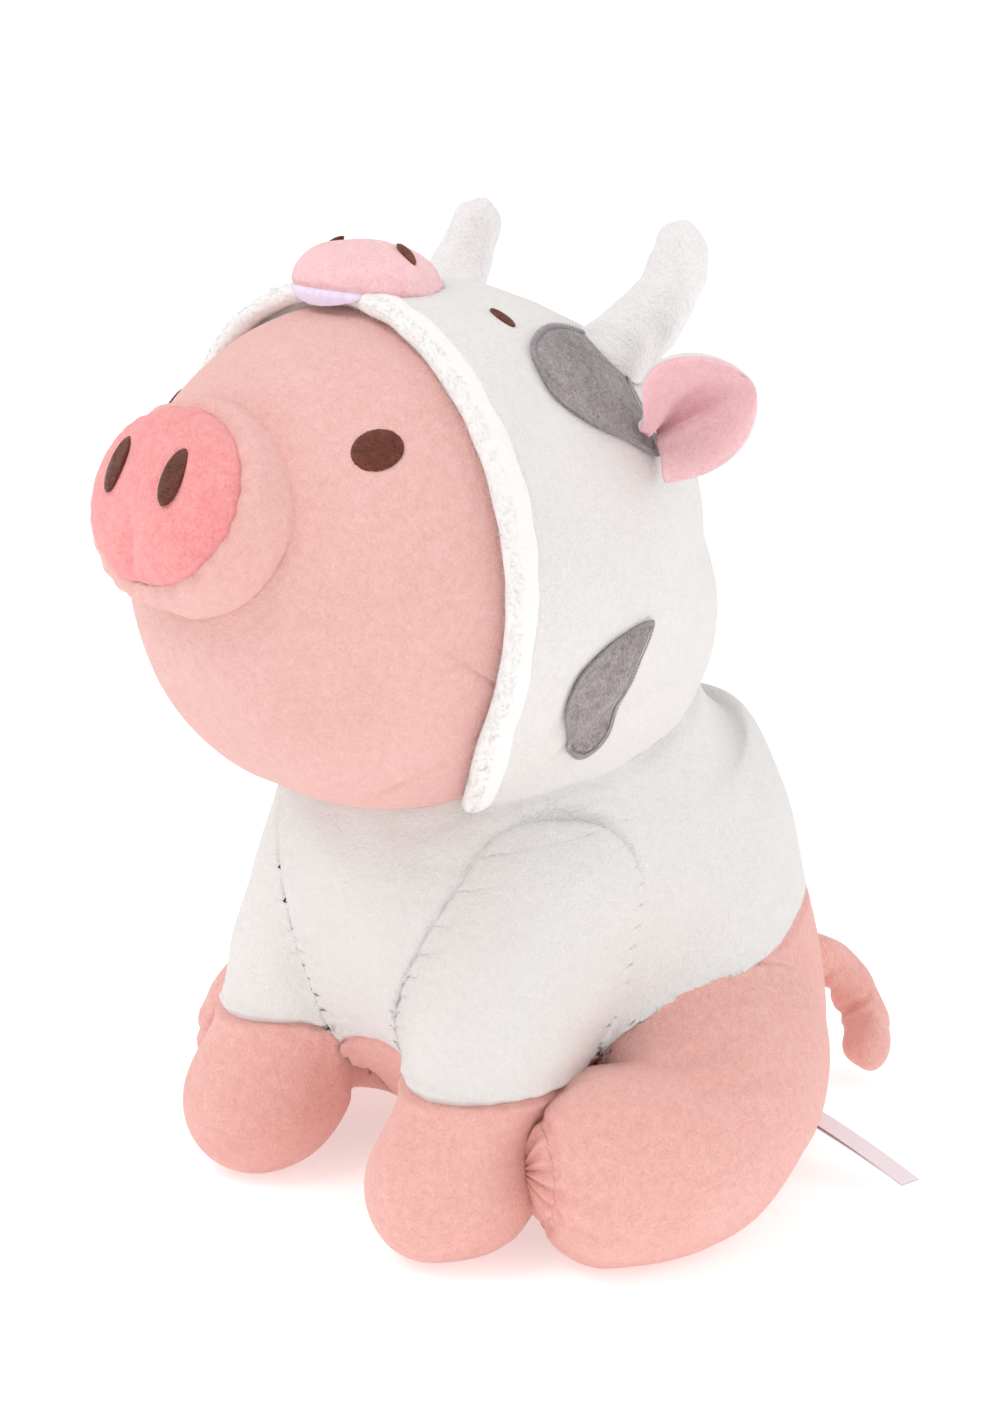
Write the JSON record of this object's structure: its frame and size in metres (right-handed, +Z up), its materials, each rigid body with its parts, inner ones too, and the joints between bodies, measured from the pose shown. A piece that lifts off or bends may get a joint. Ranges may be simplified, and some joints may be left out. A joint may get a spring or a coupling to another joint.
{
  "type": "plush pig",
  "caption": "Sitting plush pig in a white hooded cow outfit with padded horns, ears and muzzle, drooping tail and swinging front legs.",
  "frame": {"origin": "on the floor, under the middle of the toy's bounding box", "axes": "+Z up, the pig looks along -Y, its left side is +X"},
  "size_m": [0.2302, 0.293, 0.3035],
  "materials": {
    "skin_plush": "short velvety pile, light pink",
    "paw_plush": "short velvety pile, pink",
    "snout_plush": "short velvety pile, deep pink",
    "white_plush": "short velvety pile, white",
    "horn_plush": "short pile, warm white",
    "lavender_lining": "smooth knitted lining, lavender",
    "grey_plush": "short pile applique, grey, zigzag stitched",
    "thread": "satin stitch, dark brown",
    "pad_plush": "short velvety pile, pink",
    "fibre": "polyester fibre filling",
    "ribbon": "folded satin ribbon, bare"
  },
  "bodies": {
    "body": {"head_cover": "skin_plush", "head_filling": "fibre", "snout_band": "skin_plush", "snout_disc": "snout_plush", "nostril_left": "thread", "nostril_right": "thread", "eye_left": "thread", "eye_right": "thread", "hood_lining": "lavender_lining", "hood_shell": "white_plush", "hood_edge": "white_plush", "muzzle": "pad_plush", "muzzle_underside": "lavender_lining", "muzzle_nostril_left": "thread", "muzzle_nostril_right": "thread", "hood_eye_left": "thread", "hood_eye_right": "thread", "horn_left": "horn_plush", "horn_right": "horn_plush", "patch_upper": "grey_plush", "patch_lower": "grey_plush", "torso_upper": "white_plush", "torso_lower": "paw_plush", "torso_filling": "fibre", "hind_leg_left": "paw_plush", "hind_leg_right": "paw_plush", "foot_sole_left": "paw_plush", "foot_sole_right": "paw_plush"},
    "front_leg_left": {"sleeve_left": "white_plush", "front_paw_left": "paw_plush"},
    "front_leg_right": {"sleeve_right": "white_plush", "front_paw_right": "paw_plush"},
    "ear_left": {"ear_outer_left": "white_plush", "ear_inner_left": "pad_plush"},
    "ear_right": {"ear_outer_right": "white_plush", "ear_inner_right": "pad_plush"},
    "tail": {"tail": "paw_plush"},
    "label": {"label": "ribbon"}
  },
  "joints": [
    {"name": "front_leg_swing_left", "type": "hinge", "parent": "body", "child": "front_leg_left", "pos_m": [0.044, -0.03146, 0.104], "axis": [-1, 0, 0], "range_deg": [0, 20], "stiffness_Nm_per_rad": 0.6},
    {"name": "front_leg_swing_right", "type": "hinge", "parent": "body", "child": "front_leg_right", "pos_m": [-0.044, -0.03146, 0.104], "axis": [-1, 0, 0], "range_deg": [0, 20], "stiffness_Nm_per_rad": 0.6},
    {"name": "ear_flap_left", "type": "hinge", "parent": "body", "child": "ear_left", "pos_m": [0.067, -0.00846, 0.2443], "axis": [0, 0, 1], "range_deg": [-15, 15], "stiffness_Nm_per_rad": 0.02},
    {"name": "ear_flap_right", "type": "hinge", "parent": "body", "child": "ear_right", "pos_m": [-0.067, -0.00846, 0.2443], "axis": [0, 0, -1], "range_deg": [-15, 15], "stiffness_Nm_per_rad": 0.02},
    {"name": "tail_swing", "type": "hinge", "parent": "body", "child": "tail", "pos_m": [0.009, 0.10754, 0.045], "axis": [0, 0, 1], "range_deg": [-20, 20], "stiffness_Nm_per_rad": 0.03},
    {"name": "label_flap", "type": "hinge", "parent": "body", "child": "label", "pos_m": [0.0662, 0.0637, 0.0174], "axis": [0.2779, -0.9404, 0.1959], "range_deg": [0, 35], "stiffness_Nm_per_rad": 0.002}
  ]
}
